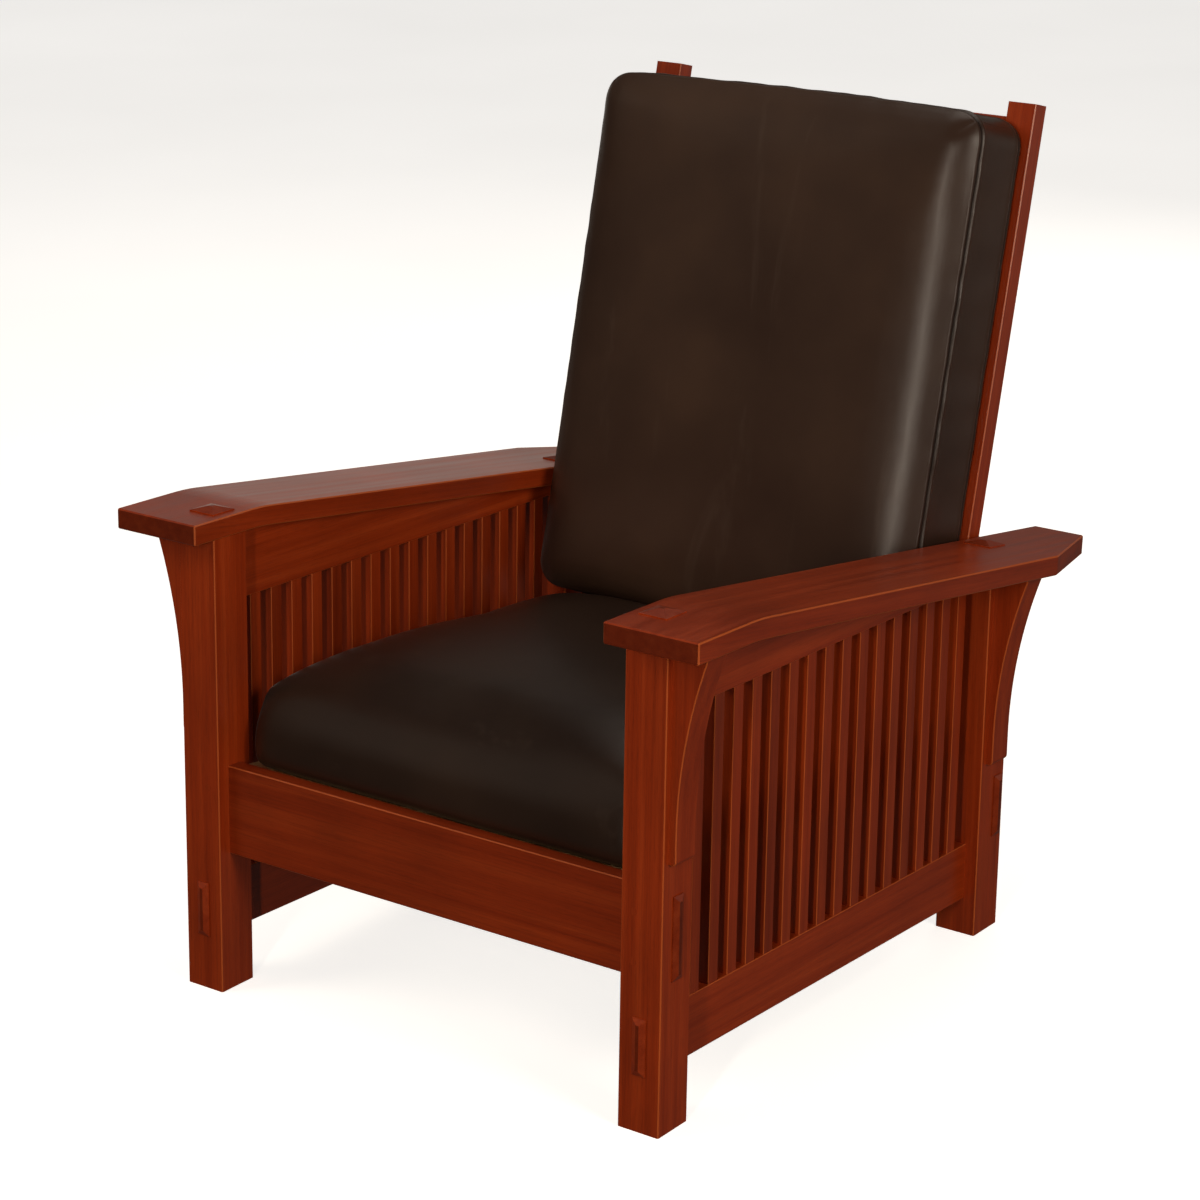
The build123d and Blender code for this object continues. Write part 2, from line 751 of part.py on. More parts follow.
def make_cushion(plane, width, length, thickness, level_shares):
    """A stuffed box: rolled underside edge, upright boxing, and a crowned face with low corners."""
    levels = []
    for height_share, side_share, end_share, corner_share in level_shares:
        level_width = width - 2 * thickness * side_share
        level_length = length - 2 * thickness * end_share
        level_plane = plane.offset(thickness * height_share)
        levels.append(cushion_level(level_plane, level_width, level_length, thickness * corner_share))
    panels = [levels[0], levels[-1]]
    for low, high in zip(levels, levels[1:]):
        for i in range(len(low)):
            panels.append([low[i - 1], low[i], high[i], high[i - 1]])
    with BuildPart() as cushion:
        add(Solid(Shell([Face(Wire.make_polygon(panel)) for panel in panels])))
    return cushion.part


seat_front = deck_front + cushion_gap
seat_length = (notch_front - seat_front) / cos(deck_slope)
seat_middle = seat_front + seat_length / 2 * cos(deck_slope)
seat_plane = plan_plane(deck_top_at(seat_middle), seat_middle, degrees(deck_slope))
save(
    make_cushion(
        seat_plane.offset(cushion_gap),
        2 * (leg_inner - seat_cushion_side_gap),
        seat_length,
        seat_cushion_thickness,
        seat_level_shares,
    ),
    "seat_cushion",
)

back_length = post_length - back_cushion_rise - back_cushion_drop
back_middle = post_corner(back_cushion_rise + back_length / 2, -post_thickness / 2 - cushion_gap)
save(
    make_cushion(
        front_plane(*back_middle, back_lean),
        2 * (post_outer - back_cushion_side_gap),
        back_length,
        back_cushion_thickness,
        back_level_shares,
    ),
    "back_cushion",
)
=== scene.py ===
import math

import bpy
from mathutils import Matrix, Vector, kdtree, noise


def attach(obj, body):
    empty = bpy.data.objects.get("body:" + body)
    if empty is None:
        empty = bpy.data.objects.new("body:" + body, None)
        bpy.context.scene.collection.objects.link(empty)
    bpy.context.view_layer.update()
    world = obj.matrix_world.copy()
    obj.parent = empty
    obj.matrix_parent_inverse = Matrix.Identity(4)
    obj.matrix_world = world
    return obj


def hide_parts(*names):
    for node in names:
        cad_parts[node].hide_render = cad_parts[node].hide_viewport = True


# The view: the chair is seen from its front right, a little above the arms, through a long
# lens. The camera's place, aim and lens in metres and millimetres were fitted to measured
# points of the chair.
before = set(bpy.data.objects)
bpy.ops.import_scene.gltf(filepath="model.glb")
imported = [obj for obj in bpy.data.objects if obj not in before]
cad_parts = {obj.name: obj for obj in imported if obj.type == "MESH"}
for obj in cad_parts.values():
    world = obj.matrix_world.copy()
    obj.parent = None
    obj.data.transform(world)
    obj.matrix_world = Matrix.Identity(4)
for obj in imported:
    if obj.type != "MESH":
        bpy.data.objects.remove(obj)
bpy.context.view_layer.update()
scene = bpy.context.scene

camera_place = Vector((2.35634, -3.25389, 1.77198))
camera_target = Vector((0.0793, -0.18358, 0.51541))
camera_roll = math.radians(-0.158)
lens_mm = 101.2
sensor_mm = 36
sight_limit = 400


def facing(place, target):
    """The turn and place of a thing that looks from one point at another."""
    aim = (target - place).to_track_quat("-Z", "Y").to_matrix().to_4x4()
    return Matrix.Translation(place) @ aim


camera_data = bpy.data.cameras.new("studio_camera")
camera_data.lens = lens_mm
camera_data.sensor_width = sensor_mm
camera_data.clip_end = sight_limit
camera = bpy.data.objects.new("studio_camera", camera_data)
scene.collection.objects.link(camera)
camera.matrix_world = facing(camera_place, camera_target) @ Matrix.Rotation(camera_roll, 4, "Z")
scene.camera = camera
scene.view_settings.view_transform = "Standard"
scene.view_settings.look = "None"


# Studio floor: boards under matt white paint, which run on beyond sight, so no edge shows.
# The floor glows a little by itself, for the light that such a floor scatters, but throws
# none of that on the chair.
floor_reach = 150.0
floor_glow = 0.84

# A colour Mix node's sockets go by number, because its other types use the same names
SHARE, FIRST, SECOND, MIXED = 0, 6, 7, 2


def linear(hex_colour):
    """An sRGB hex colour as linear red, green, blue and alpha."""
    shares = [int(hex_colour[i:i + 2], 16) / 255 for i in (1, 3, 5)]
    return [v / 12.92 if v <= 0.04045 else ((v + 0.055) / 1.055) ** 2.4 for v in shares] + [1.0]


def per_metre(count, millimetres):
    """A pattern's scale, from how many of its marks lie side by side in so many millimetres."""
    return 1000 * count / millimetres


def new_material(name):
    """An empty node material and its tree."""
    material = bpy.data.materials.new(name)
    material.use_nodes = True
    material.node_tree.nodes.clear()
    return material, material.node_tree


def add_node(tree, kind, inputs=None, stops=None, **settings):
    """Adds a node with its settings. An input is a socket to link, a hex colour or a value;
    stops are a colour ramp's positions, each with a hex colour or a grey."""
    node = tree.nodes.new(kind)
    for name, value in settings.items():
        setattr(node, name, value)
    for key, value in (inputs or {}).items():
        if isinstance(value, bpy.types.NodeSocket):
            tree.links.new(value, node.inputs[key])
        else:
            node.inputs[key].default_value = linear(value) if isinstance(value, str) else value
    if stops:
        points = node.color_ramp.elements
        points.remove(points[1])
        for i, (position, colour) in enumerate(stops):
            point = points.new(position) if i else points[0]
            point.position = position
            point.color = linear(colour) if isinstance(colour, str) else (colour, colour, colour, 1)
    return node


def matt_floor_paint(name):
    """Matt emulsion paint, rolled on: no gloss, and clouds of tone over a metre wide."""
    material, tree = new_material(name)
    place = add_node(tree, "ShaderNodeTexCoord").outputs["Object"]
    mottle = add_node(tree, "ShaderNodeTexNoise",
                      {"Vector": place, "Scale": per_metre(7, 10000), "Detail": 3.0}).outputs["Fac"]
    tone = add_node(tree, "ShaderNodeValToRGB", {"Fac": mottle},
                    [(0.3, "#f1f0ee"), (0.7, "#f6f5f3")]).outputs["Color"]
    paint = add_node(tree, "ShaderNodeBsdfPrincipled",
                     {"Base Color": tone, "Emission Color": tone, "Roughness": 0.7,
                      "Emission Strength": floor_glow})
    add_node(tree, "ShaderNodeOutputMaterial", {"Surface": paint.outputs[0]})
    return material


floor_mesh = bpy.data.meshes.new("studio_floor")
floor_corners = [(-floor_reach, -floor_reach, 0), (floor_reach, -floor_reach, 0),
                 (floor_reach, floor_reach, 0), (-floor_reach, floor_reach, 0)]
floor_mesh.from_pydata(floor_corners, [], [(0, 1, 2, 3)])
floor_mesh.materials.append(matt_floor_paint("painted_studio_floor"))
floor = bpy.data.objects.new("studio_floor", floor_mesh)
scene.collection.objects.link(floor)
floor.visible_glossy = False
floor.visible_diffuse = False


# Studio walls: a dim room with a roll of bright paper hung behind the chair and to its left,
# and daylight from a curtained window high at the front left. The lacquer and the leather
# mirror them. Places on the walls are shares of the direction looked in.
window_way = (-0.61, -0.51, 0.61)


def studio_walls(name):
    """The walls as the world's colours: dim plaster, pale paper and a glow of daylight."""
    world = bpy.data.worlds.new(name)
    world.use_nodes = True
    tree = world.node_tree
    way = add_node(tree, "ShaderNodeTexCoord").outputs["Generated"]
    toward = add_node(tree, "ShaderNodeSeparateXYZ", {"Vector": way}).outputs
    behind = add_node(tree, "ShaderNodeValToRGB", {"Fac": toward["Y"]},
                      [(0.35, 0.0), (0.60, 1.0)]).outputs["Color"]
    height = add_node(tree, "ShaderNodeMath", {0: toward["Z"]}, operation="ABSOLUTE").outputs[0]
    # The paper hangs behind the left, low down
    leftward = add_node(tree, "ShaderNodeMath", {0: toward["X"], 1: -1.0}, operation="MULTIPLY").outputs[0]
    aside = add_node(tree, "ShaderNodeValToRGB", {"Fac": leftward},
                     [(0.48, 0.12), (0.58, 1.0)]).outputs["Color"]
    low = add_node(tree, "ShaderNodeValToRGB", {"Fac": height},
                   [(0.09, 1.0), (0.24, 0.16)]).outputs["Color"]
    corner = add_node(tree, "ShaderNodeMath", {0: behind, 1: aside}, operation="MULTIPLY").outputs[0]
    paper = add_node(tree, "ShaderNodeMath", {0: corner, 1: low}, operation="MULTIPLY").outputs[0]
    walls = add_node(tree, "ShaderNodeMix", {SHARE: paper, FIRST: "#3d3935", SECOND: "#d6cfc4"},
                     data_type="RGBA").outputs[MIXED]
    # Its dimmer end behind the right is a narrower band
    rightward = add_node(tree, "ShaderNodeValToRGB", {"Fac": toward["X"]},
                         [(0.36, 0.0), (0.46, 0.45)]).outputs["Color"]
    band = add_node(tree, "ShaderNodeValToRGB", {"Fac": height},
                    [(0.20, 1.0), (0.27, 0.0)]).outputs["Color"]
    corner = add_node(tree, "ShaderNodeMath", {0: rightward, 1: band}, operation="MULTIPLY").outputs[0]
    paper = add_node(tree, "ShaderNodeMath", {0: corner, 1: behind}, operation="MULTIPLY").outputs[0]
    walls = add_node(tree, "ShaderNodeMix", {SHARE: paper, FIRST: walls, SECOND: "#c9c0b6"},
                     data_type="RGBA").outputs[MIXED]
    # The window's glow fades away from its middle
    nearness = add_node(tree, "ShaderNodeVectorMath", {0: way, 1: window_way},
                        operation="DOT_PRODUCT").outputs["Value"]
    glow = add_node(tree, "ShaderNodeValToRGB", {"Fac": nearness},
                    [(0.84, 0.0), (0.985, 0.85)]).outputs["Color"]
    walls = add_node(tree, "ShaderNodeMix", {SHARE: glow, FIRST: walls, SECOND: "#9a9084"},
                     data_type="RGBA").outputs[MIXED]
    tree.links.new(walls, tree.nodes["Background"].inputs["Color"])
    tree.nodes["Background"].inputs["Strength"].default_value = 1.0
    return world


scene.world = studio_walls("studio_walls")


# Lamps: five softboxes round the chair, all turned to its middle. The strip, right and top
# ones lie in the lacquer and the leather as soft highlights. The front and rear ones only
# fill the shadows and leave no reflection.
chair_middle = Vector((0, 0, 0.55))
warm_white = "#fff1df"
soft_white = "#fff6ea"


def softbox(name, place, size, watts, colour, mirrored=True):
    """A large soft lamp that faces the middle of the chair."""
    light = bpy.data.lights.new(name, "AREA")
    light.shape = "RECTANGLE"
    light.size, light.size_y = size
    light.energy = watts
    light.color = linear(colour)[:3]
    lamp = bpy.data.objects.new(name, light)
    scene.collection.objects.link(lamp)
    lamp.matrix_world = facing(Vector(place), chair_middle)
    lamp.visible_glossy = mirrored


softbox("front_softbox", (-2.7, -2.7, 3.0), (1.8, 1.8), 43, warm_white, mirrored=False)
softbox("strip_softbox", (1.3, -3.7, 1.45), (0.2, 1.5), 43, warm_white)
softbox("right_softbox", (3.8, -0.9, 2.0), (1.2, 1.8), 62, warm_white)
softbox("top_softbox", (0.0, 1.0, 3.8), (2.4, 2.4), 28, soft_white)
softbox("rear_softbox", (-0.8, 4.0, 2.2), (2.0, 1.6), 30, soft_white, mirrored=False)


# Legs: four square posts of cherry with through tenons, whose bevelled heads show in the
# arms. The rear pair is sawn shorter, so the frame tips back, and each piece's grain is
# turned with it.
leg_spacing = 0.699
leg_cut = 0.020
frame_tip = math.atan(leg_cut / leg_spacing)
upright = (frame_tip, 0, 0)
sides = ("left", "right")


def stained_cherry(name, grain_turn, board, darkness=0.0, sticks=None):
    """Cherry, planed, stained a reddish brown and lacquered: fine streaks along the grain under a
    satin film, and sanded arrises painted as a pale line, partly thin stain and partly a painted
    highlight.

    The board number gives each piece its own part of the pattern. The sticks of one node,
    given as the first one's place and their spacing, get a board each."""
    material, tree = new_material(name)
    coords = add_node(tree, "ShaderNodeTexCoord").outputs
    board_place = [board * step for step in (0.37, 0.61, 1.13)]
    along = add_node(tree, "ShaderNodeMapping",
                     {"Vector": coords["Object"], "Rotation": grain_turn,
                      "Location": board_place}).outputs["Vector"]
    stick_tones = []
    if sticks:
        # One whole number a stick, counted along the frame's depth
        first_stick, stick_spacing = sticks
        depth_way = (0, math.cos(frame_tip), -math.sin(frame_tip))
        depth_there = add_node(tree, "ShaderNodeVectorMath", {0: coords["Object"], 1: depth_way},
                               operation="DOT_PRODUCT").outputs["Value"]
        beyond = add_node(tree, "ShaderNodeMath", {0: depth_there, 1: first_stick},
                          operation="SUBTRACT").outputs[0]
        steps = add_node(tree, "ShaderNodeMath", {0: beyond, 1: stick_spacing},
                         operation="DIVIDE").outputs[0]
        whole = add_node(tree, "ShaderNodeMath", {0: steps}, operation="ROUND").outputs[0]
        stick = add_node(tree, "ShaderNodeTexWhiteNoise", {"W": whole}, noise_dimensions="1D").outputs
        along = add_node(tree, "ShaderNodeVectorMath", {0: along, 1: stick["Color"]},
                         operation="ADD").outputs[0]
        stick_tones.append(add_node(tree, "ShaderNodeValToRGB", {"Fac": stick["Value"]},
                                    [(0.0, 0.74), (1.0, 1.10)]).outputs["Color"])
    # Figure: growth bands 12.5 mm wide that run on for half a metre
    band_scale = (per_metre(4, 50), per_metre(4, 50), per_metre(1, 500))
    bands = add_node(tree, "ShaderNodeMapping", {"Vector": along, "Scale": band_scale}).outputs[0]
    figure = add_node(tree, "ShaderNodeTexNoise",
                      {"Vector": bands, "Scale": 1.0, "Detail": 3.0, "Roughness": 0.5,
                       "Distortion": 0.4}).outputs["Fac"]
    heart = add_node(tree, "ShaderNodeValToRGB", {"Fac": figure},
                     [(0.30, "#95300b"), (0.50, "#a2370e"), (0.70, "#ad3f12")]).outputs["Color"]
    # Grain: streaks 1.6 mm wide and a hand long
    streak_scale = (per_metre(31, 50), per_metre(31, 50), per_metre(9, 1000))
    narrow = add_node(tree, "ShaderNodeMapping", {"Vector": along, "Scale": streak_scale}).outputs[0]
    streaks = add_node(tree, "ShaderNodeTexNoise",
                       {"Vector": narrow, "Scale": 1.0, "Detail": 3.0, "Roughness": 0.6}).outputs["Fac"]
    streak_tone = add_node(tree, "ShaderNodeValToRGB", {"Fac": streaks},
                           [(0.32, 0.84), (0.50, 1.0), (0.70, 1.09)]).outputs["Color"]
    # Pores: hair lines 0.7 mm apart, wider than real ones so that they show, and 17 mm long
    pore_scale = (per_metre(3, 2), per_metre(3, 2), per_metre(3, 50))
    fine = add_node(tree, "ShaderNodeMapping", {"Vector": along, "Scale": pore_scale}).outputs[0]
    pores = add_node(tree, "ShaderNodeTexNoise",
                     {"Vector": fine, "Scale": 1.0, "Detail": 1.0}).outputs["Fac"]
    pore_tone = add_node(tree, "ShaderNodeValToRGB", {"Fac": pores},
                         [(0.30, 0.80), (0.46, 1.0)]).outputs["Color"]
    # Stain: patches 140 mm wide that took more or less colour
    blotch = add_node(tree, "ShaderNodeTexNoise",
                      {"Vector": along, "Scale": per_metre(7, 1000), "Detail": 2.0}).outputs["Fac"]
    blotch_tone = add_node(tree, "ShaderNodeValToRGB", {"Fac": blotch},
                           [(0.3, 0.84 - darkness), (0.7, 1.0 - darkness)]).outputs["Color"]
    stained = heart
    for tone in [streak_tone, pore_tone, blotch_tone] + stick_tones:
        stained = add_node(tree, "ShaderNodeMix", {SHARE: 1.0, FIRST: stained, SECOND: tone},
                           data_type="RGBA", blend_type="MULTIPLY").outputs[MIXED]
    # Arrises: a face square to none of the piece's three directions is a sanded edge, painted pale for its
    # thin stain and as a painted highlight
    turned = add_node(tree, "ShaderNodeMapping", {"Vector": coords["Normal"], "Rotation": grain_turn},
                      vector_type="NORMAL").outputs[0]
    sizes = add_node(tree, "ShaderNodeVectorMath", {0: turned}, operation="ABSOLUTE").outputs[0]
    share = add_node(tree, "ShaderNodeSeparateXYZ", {"Vector": sizes}).outputs
    larger = add_node(tree, "ShaderNodeMath", {0: share["X"], 1: share["Y"]},
                      operation="MAXIMUM").outputs[0]
    largest = add_node(tree, "ShaderNodeMath", {0: larger, 1: share["Z"]},
                       operation="MAXIMUM").outputs[0]
    arris_wear_and_highlight = add_node(tree, "ShaderNodeValToRGB", {"Fac": largest},
                     [(0.715, 0.55), (0.78, 0.0)]).outputs["Color"]
    # Painted highlight: the pale edge colour also stands for the light that the arrises catch
    worn_and_highlit = add_node(tree, "ShaderNodeMix", {SHARE: arris_wear_and_highlight, FIRST: stained, SECOND: "#cf6a32"},
                    data_type="RGBA").outputs[MIXED]
    # End grain, square to the grain's run, soaks up stain and goes darker
    end_grain = add_node(tree, "ShaderNodeValToRGB", {"Fac": share["Z"]},
                         [(0.93, 1.0), (0.98, 0.52)]).outputs["Color"]
    colour = add_node(tree, "ShaderNodeMix", {SHARE: 1.0, FIRST: worn_and_highlit, SECOND: end_grain},
                      data_type="RGBA", blend_type="MULTIPLY").outputs[MIXED]
    gloss = add_node(tree, "ShaderNodeValToRGB", {"Fac": figure},
                     [(0.3, 0.30), (0.7, 0.40)]).outputs["Color"]
    relief = add_node(tree, "ShaderNodeBump",
                      {"Height": pores, "Strength": 0.12, "Distance": 0.0004}).outputs[0]
    lacquer = add_node(tree, "ShaderNodeBsdfPrincipled",
                       {"Base Color": colour, "Roughness": gloss, "Normal": relief, "IOR": 1.45,
                        "Coat Weight": 0.15, "Coat Roughness": 0.2})
    add_node(tree, "ShaderNodeOutputMaterial", {"Surface": lacquer.outputs[0]})
    return material


def dress(node, material):
    """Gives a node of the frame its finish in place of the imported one."""
    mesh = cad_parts[node].data
    mesh.materials.clear()
    mesh.materials.append(material)


for number, side in enumerate(sides):
    dress(side + "_front_leg", stained_cherry(side + "_front_leg_cherry", upright, 1.0 + number))
    dress(side + "_rear_leg", stained_cherry(side + "_rear_leg_cherry", upright, 3.0 + number))


# Corbels: four brackets that carry the arms, bandsawn to a curve from cherry with upright
# grain and glued to the outer faces of the legs.
for number, side in enumerate(sides):
    dress(side + "_front_corbel", stained_cherry(side + "_front_corbel_cherry", upright, 5.0 + number))
    dress(side + "_rear_corbel", stained_cherry(side + "_rear_corbel_cherry", upright, 7.0 + number))


# Arms: thick cherry boards, bent behind the front legs and sloping down from there to the
# rear. Their stain is a shade darker than the legs'.
arm_slope = math.radians(6.74)
arm_darkness = 0.12
sloping = (frame_tip + arm_slope + math.radians(90), 0, 0)
for number, side in enumerate(sides):
    dress(side + "_arm", stained_cherry(side + "_arm_cherry", sloping, 9.0 + number, arm_darkness))


# Side rails: a wedge under each arm that follows its slope, and a stretcher with through
# tenons low down. Both are cherry boards whose grain runs from front to rear.
rearward = (frame_tip + math.radians(90), 0, 0)
for number, side in enumerate(sides):
    dress(side + "_upper_rail", stained_cherry(side + "_upper_rail_cherry", rearward, 11.0 + number))
    dress(side + "_side_stretcher", stained_cherry(side + "_stretcher_cherry", rearward, 13.0 + number))


# Spindles: sixteen square cherry sticks a side, let into the stretcher and the upper rail.
# They were sawn from different boards, so neighbours differ in figure and tone.
spindle_spacing = 0.038
first_spindle = 0.093
origin_depth = 0.45643
spindle_darkness = 0.08
# The pattern's places are counted from the middle of the frame, which lies origin_depth
# behind the front legs' faces
spindles = (first_spindle - origin_depth * math.cos(frame_tip), spindle_spacing)
for number, side in enumerate(sides):
    cherry = stained_cherry(side + "_spindle_cherry", upright, 15.0 + number, spindle_darkness, spindles)
    dress(side + "_spindles", cherry)


# Seat rails: two wide cherry boards from leg to leg, the front one deep enough to hide the
# deck. Their stain is a good deal darker than the legs'.
rail_darkness = 0.2
across = (0, math.radians(90), 0)
for number, node in enumerate(("front_rail", "rear_rail")):
    dress(node, stained_cherry(node + "_cherry", across, 19.0 + number, rail_darkness))


# Dowels: cherry pins driven from the legs' outer faces into the seat rails' tenons and cut
# off flush. Stained with the legs, they hardly show.
dowel_darkness = 0.06
dress("rail_dowels", stained_cherry("dowel_cherry", upright, 35.0, dowel_darkness))


# Cleats: two cherry battens on the inside of the seat rails, which carry the deck. They are
# out of sight and a little paler.
cleat_darkness = -0.05
for node in ("front_cleat", "rear_cleat"):
    dress(node, stained_cherry(node + "_cherry", across, 36.0, cleat_darkness))


# Seat deck: a sheet of birch plywood that lies loose on the cleats, sawn to size and left
# bare. It falls to the rear.
deck_tilt = math.radians(6.465)
ply_thickness = 0.0015


def birch_plywood(name):
    """Birch plywood, peeled, pressed and sanded: a flat pale veneer with a wild figure, and
    sawn edges where every other ply, its grain end on, is a dark line."""
    material, tree = new_material(name)
    coords = add_node(tree, "ShaderNodeTexCoord").outputs
    level = add_node(tree, "ShaderNodeMapping",
                     {"Vector": coords["Object"], "Rotation": (deck_tilt, 0, 0)}).outputs[0]
    # Figure: streaks 200 mm long and 6 mm wide
    figure_scale = (per_metre(1, 200), per_metre(8, 50), per_metre(8, 50))
    grain = add_node(tree, "ShaderNodeMapping", {"Vector": level, "Scale": figure_scale}).outputs[0]
    figure = add_node(tree, "ShaderNodeTexNoise",
                      {"Vector": grain, "Scale": 1.0, "Detail": 4.0, "Distortion": 1.2}).outputs["Fac"]
    veneer = add_node(tree, "ShaderNodeValToRGB", {"Fac": figure},
                      [(0.3, "#b48a5c"), (0.55, "#c9a274"), (0.75, "#d6b58a")]).outputs["Color"]
    # Plies: one pale and one dark make a pair, and show where a face isn't flat
    pale_share, flat_limit = 0.55, 0.7
    height = add_node(tree, "ShaderNodeSeparateXYZ", {"Vector": level}).outputs["Z"]
    pairs = add_node(tree, "ShaderNodeMath", {0: height, 1: 2 * ply_thickness},
                     operation="DIVIDE").outputs[0]
    within = add_node(tree, "ShaderNodeMath", {0: pairs}, operation="FRACT").outputs[0]
    dark = add_node(tree, "ShaderNodeMath", {0: within, 1: pale_share},
                    operation="GREATER_THAN").outputs[0]
    turned = add_node(tree, "ShaderNodeMapping",
                      {"Vector": coords["Normal"], "Rotation": (deck_tilt, 0, 0)},
                      vector_type="NORMAL").outputs[0]
    up = add_node(tree, "ShaderNodeSeparateXYZ", {"Vector": turned}).outputs["Z"]
    flat = add_node(tree, "ShaderNodeMath", {0: up}, operation="ABSOLUTE").outputs[0]
    edge = add_node(tree, "ShaderNodeMath", {0: flat, 1: flat_limit}, operation="LESS_THAN").outputs[0]
    line = add_node(tree, "ShaderNodeMath", {0: edge, 1: dark}, operation="MULTIPLY").outputs[0]
    wood = add_node(tree, "ShaderNodeMix", {SHARE: line, FIRST: veneer, SECOND: "#7c5531"},
                    data_type="RGBA").outputs[MIXED]
    relief = add_node(tree, "ShaderNodeBump",
                      {"Height": figure, "Strength": 0.1, "Distance": 0.0003}).outputs[0]
    bare = add_node(tree, "ShaderNodeBsdfPrincipled",
                    {"Base Color": wood, "Normal": relief, "Roughness": 0.62})
    add_node(tree, "ShaderNodeOutputMaterial", {"Surface": bare.outputs[0]})
    return material


dress("seat_deck", birch_plywood("deck_birch_plywood"))


# Back: a ladder of two cherry posts and five rungs tenoned between them, which leans back
# from the rear of the seat and reclines as one.
back_lean = math.radians(12.34)
back_tilt = frame_tip + back_lean
rung_darkness = 0.05
leaning = (back_tilt, 0, 0)
for number, side in enumerate(sides):
    dress(side + "_back_post", stained_cherry(side + "_post_cherry", leaning, 17.0 + number))
for number in range(1, 6):
    node = f"back_rung_{number}"
    dress(node, stained_cherry(node + "_cherry", across, 21.0 + number, rung_darkness))


# Turned pieces: the adjusting pegs that the back leans on, its pivot pins, and a spacer
# washer on each pin. All are cherry off the lathe, the washers a little paler.
pin_darkness = 0.12
washer_darkness = -0.1
for number, node in enumerate(("left_adjusting_peg", "right_adjusting_peg", "pivot_pins")):
    dress(node, stained_cherry(node + "_turned_cherry", across, 31.0 + number, pin_darkness))
dress("pivot_washers", stained_cherry("washer_cherry", upright, 34.0, washer_darkness))


# Seat cushion: foam wrapped in wadding, in a cover of dark brown cowhide. It is deep and
# full, its front rolled over like a bolster and its crown highest behind the middle, and it
# lies on the deck between the sides.
seat_half_width = 0.301
seat_half_length = 0.326
seat_belt = 0.078
seat_roll_width = 0.299
seat_roll_length = 0.321
seat_rise = 0.086
seat_place = Vector((0, -0.09022, 0.25134))
seat_room = (0.3015, 0.327, 0.0, 0.172)
seat_cell = 0.007
# The simulation swells the covers, so they start a little smaller
slack = 0.003


def roll(distance, reach, power):
    """Rise of a rolled edge as a share: nought at the edge, one beyond the roll's reach."""
    left = min(1.0, max(0.0, 1 - distance / reach))
    return (1 - left ** power) ** (1 / power)


def meet(first, second):
    """A soft minimum of two shares, so that rolls run into one another at a corner."""
    least = 0.03
    return (max(first, least) ** -2 + max(second, least) ** -2 - 1) ** -0.5


def seat_crown(x, y):
    """Swell of the seat's top: a slow roll at the front, quicker ones at the sides and rear."""
    front = roll(seat_roll_length + y, 0.32, 2.1)
    rear = roll(seat_roll_length - y, 0.17, 2.4)
    flanks = roll(seat_roll_width - abs(x), 0.19, 2.7)
    return seat_rise * meet(meet(front, rear), flanks)


def seat_walls(rise):
    """The seat's walls belly out by 4 mm at half their height."""
    belly = 0.004
    return belly - belly * math.sin(math.pi * rise)


def cushion_block(name, half, walls_in, crown_at, plan_round, base_round, cells, levels):
    """A rounded plan raised to a belt with drawn-in walls, and a crowned top. Its base is at 0."""
    half_width, half_length, belt = half
    # The top's outer rim follows the walls
    rim = 0.03
    points = []
    index = {}
    faces = []

    def eased(i, count):
        """Places from -1 to 1 that lie closer together near the edges."""
        share = 2 * i / count - 1
        return share * (1.5 - 0.5 * share * share)

    def point(i, j, k):
        """The number of the point in column i, row j and level k, made when first asked for."""
        key = (i, j, k)
        if key not in index:
            across_at, length_at = eased(i, cells) * half_width, eased(j, cells) * half_length
            x, y, rise = across_at, length_at, k / levels
            beyond_x = max(0.0, abs(x) - half_width + plan_round)
            beyond_y = max(0.0, abs(y) - half_length + plan_round)
            inside = min(half_width - abs(x), half_length - abs(y))
            # A square corner's rows are drawn in to arcs
            if beyond_x > 0 and beyond_y > 0:
                kept = max(beyond_x, beyond_y)
                span = math.hypot(beyond_x, beyond_y)
                outward = Vector((math.copysign(beyond_x / span, x), math.copysign(beyond_y / span, y)))
                x -= math.copysign(beyond_x * (1 - kept / span), x)
                y -= math.copysign(beyond_y * (1 - kept / span), y)
            elif half_width - abs(x) < half_length - abs(y):
                outward = Vector((math.copysign(1, x), 0))
            else:
                outward = Vector((0, math.copysign(1, y)))
            z = belt * rise
            if i in (0, cells) or j in (0, cells):
                low = max(0.0, base_round - z)
                rounded = base_round - math.sqrt(max(0.0, base_round ** 2 - low ** 2))
                drawn = walls_in(rise) + rounded
                x -= outward.x * drawn
                y -= outward.y * drawn
            elif k == 0:
                near = max(0.0, base_round - inside)
                x -= outward.x * (base_round + walls_in(0)) * near / base_round
                y -= outward.y * (base_round + walls_in(0)) * near / base_round
            if k == levels:
                z += crown_at(across_at, length_at)
                if inside > 0:
                    near = max(0.0, rim - inside) / rim
                    x -= outward.x * walls_in(1) * near
                    y -= outward.y * walls_in(1) * near
            index[key] = len(points)
            points.append((x, y, z))
        return index[key]

    for a in range(cells):
        for b in range(cells):
            top = [(a, b), (a + 1, b), (a + 1, b + 1), (a, b + 1)]
            faces.append([point(u, v, levels) for u, v in top])
            faces.append([point(u, v, 0) for u, v in reversed(top)])
        for b in range(levels):
            wall = [(a, b), (a + 1, b), (a + 1, b + 1), (a, b + 1)]
            faces.append([point(u, 0, v) for u, v in wall])
            faces.append([point(cells, u, v) for u, v in wall])
            faces.append([point(u, cells, v) for u, v in reversed(wall)])
            faces.append([point(0, u, v) for u, v in reversed(wall)])
    mesh = bpy.data.meshes.new(name)
    mesh.from_pydata(points, [], faces)
    mesh.update()
    block = bpy.data.objects.new(name, mesh)
    scene.collection.objects.link(block)
    return block


def plain_mesh(thing, name):
    """Applies what modifiers are on an object and leaves it a plain mesh."""
    scene.view_layers[0].update()
    ready = thing.evaluated_get(bpy.context.evaluated_depsgraph_get())
    mesh = bpy.data.meshes.new_from_object(ready)
    mesh.name = name
    thing.modifiers.clear()
    thing.data = mesh


